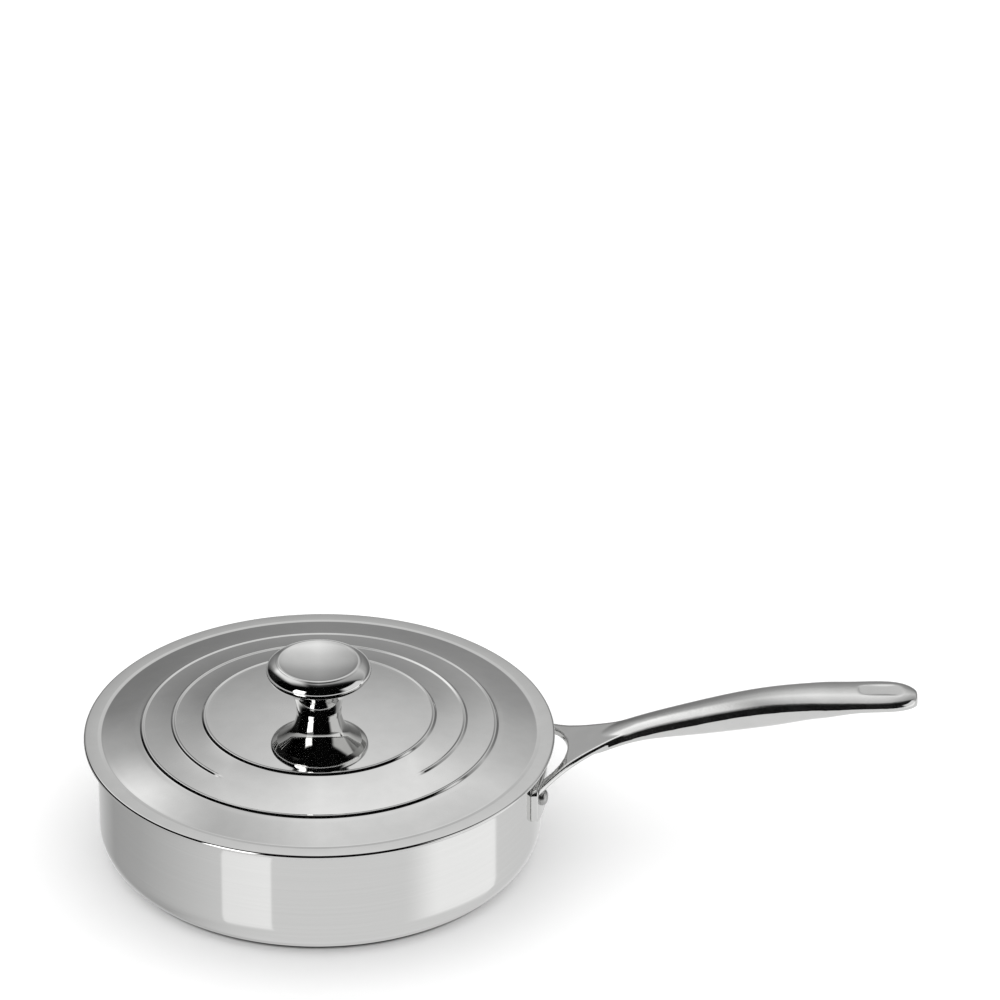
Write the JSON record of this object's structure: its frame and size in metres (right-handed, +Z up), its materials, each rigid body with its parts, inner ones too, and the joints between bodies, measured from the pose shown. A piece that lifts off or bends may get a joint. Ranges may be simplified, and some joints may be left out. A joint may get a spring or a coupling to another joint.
{
  "type": "saute pan with lid",
  "caption": "Round straight-sided clad steel pan with a long hollow handle on a forked root and a stepped lift-off lid with a mushroom knob.",
  "frame": {"origin": "centre of the flat underside of the pan", "axes": "+Z up along the axis of pan and lid, +X from the axis along the long handle"},
  "size_m": [0.4547, 0.257, 0.115],
  "materials": {
    "satin_steel": "fine satin, turned round the axis",
    "polished_steel": "mirror polished",
    "aluminium_core": "plain rolled"
  },
  "bodies": {
    "pan": {"pan_outer_ply": "satin_steel", "pan_core_ply": "aluminium_core", "pan_inner_ply": "satin_steel", "handle_foot_plate": "polished_steel", "handle_casting": "polished_steel", "handle_rivets": "polished_steel"},
    "lid": {"lid_shell": "polished_steel", "knob_collar": "polished_steel", "knob_stem": "polished_steel", "knob_cap": "polished_steel", "knob_boss": "satin_steel", "knob_screw": "satin_steel", "knob_washer": "satin_steel"}
  },
  "joints": [
    {"name": "lid_lift", "type": "slide", "parent": "pan", "child": "lid", "axis": [0, 0, 1], "range_m": [0, 0.12]}
  ]
}
